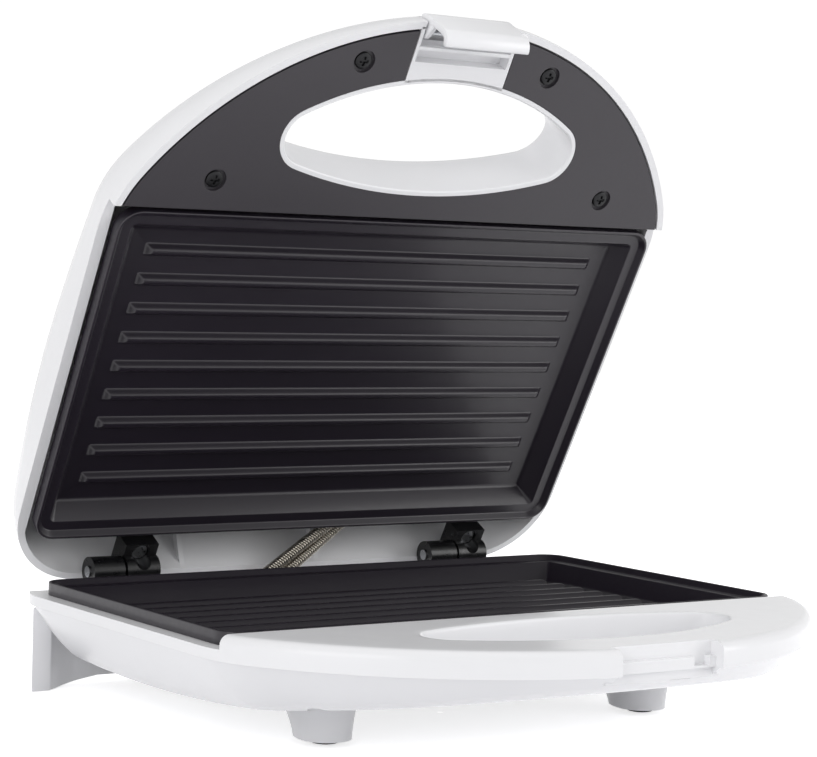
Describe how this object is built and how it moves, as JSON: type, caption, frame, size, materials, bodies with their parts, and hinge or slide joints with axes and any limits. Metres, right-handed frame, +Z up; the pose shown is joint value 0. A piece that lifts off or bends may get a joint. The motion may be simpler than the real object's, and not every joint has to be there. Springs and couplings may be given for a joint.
{
  "type": "sandwich toaster",
  "caption": "Clamshell sandwich toaster with ribbed non-stick plates, a hinged lid held open, looped hand grips, a nose latch and a stand at the back.",
  "frame": {"origin": "on the table, under the middle of the overall box with the lid held open as stored", "axes": "+Z up, +X towards the right side seen from the front, +Y from the grip towards the hinges at the back"},
  "size_m": [0.23, 0.2409, 0.2342],
  "materials": {
    "white_plastic": "gloss",
    "dark_trim": "satin",
    "nonstick_plate": "satin",
    "black_plastic": "satin",
    "pad_rubber": "matte",
    "screw_steel": "satin",
    "black_screw": "satin",
    "element_sheath": "matte",
    "reflector_sheet": "satin",
    "spring_steel": "satin",
    "ceramic": "matte",
    "fuse_can": "satin",
    "red_lens": "gloss",
    "green_lens": "gloss"
  },
  "bodies": {
    "base": {"base_frame": "white_plastic", "base_tub": "white_plastic", "foot_pads": "pad_rubber", "tub_screws": "screw_steel", "cord_gland": "white_plastic", "lower_plate": "nonstick_plate", "lower_element": "element_sheath", "lower_reflector": "reflector_sheet", "lower_reflector_screws": "screw_steel", "plate_screws": "screw_steel", "thermostat": "ceramic", "thermal_fuse": "fuse_can", "terminal_block": "ceramic", "hinge_bracket_left": "black_plastic", "hinge_bracket_right": "black_plastic", "bracket_screws": "screw_steel", "hinge_pins": "screw_steel", "wire_conduit_left": "spring_steel", "wire_conduit_right": "spring_steel"},
    "lid": {"lid_shell": "white_plastic", "handle_trim": "dark_trim", "trim_screws": "black_screw", "upper_plate": "nonstick_plate", "upper_element": "element_sheath", "upper_reflector": "reflector_sheet", "upper_reflector_screws": "screw_steel", "hinge_arm_left": "black_plastic", "hinge_arm_right": "black_plastic", "arm_screws": "screw_steel", "power_lens": "red_lens", "ready_lens": "green_lens", "lamp_holder": "ceramic", "latch_pin": "screw_steel"},
    "latch_lever": {"latch": "white_plastic"}
  },
  "joints": [
    {"name": "lid_hinge", "type": "hinge", "parent": "base", "child": "lid", "pos_m": [0, 0.0978, 0.04], "axis": [-1, 0, 0], "range_deg": [-60.9, 35], "deforming": ["wire_conduit_left", "wire_conduit_right"]},
    {"name": "latch_pivot", "type": "hinge", "parent": "lid", "child": "latch_lever", "pos_m": [0, -0.00454, 0.22818], "axis": [-1, 0, 0], "range_deg": [-7, 45]}
  ]
}
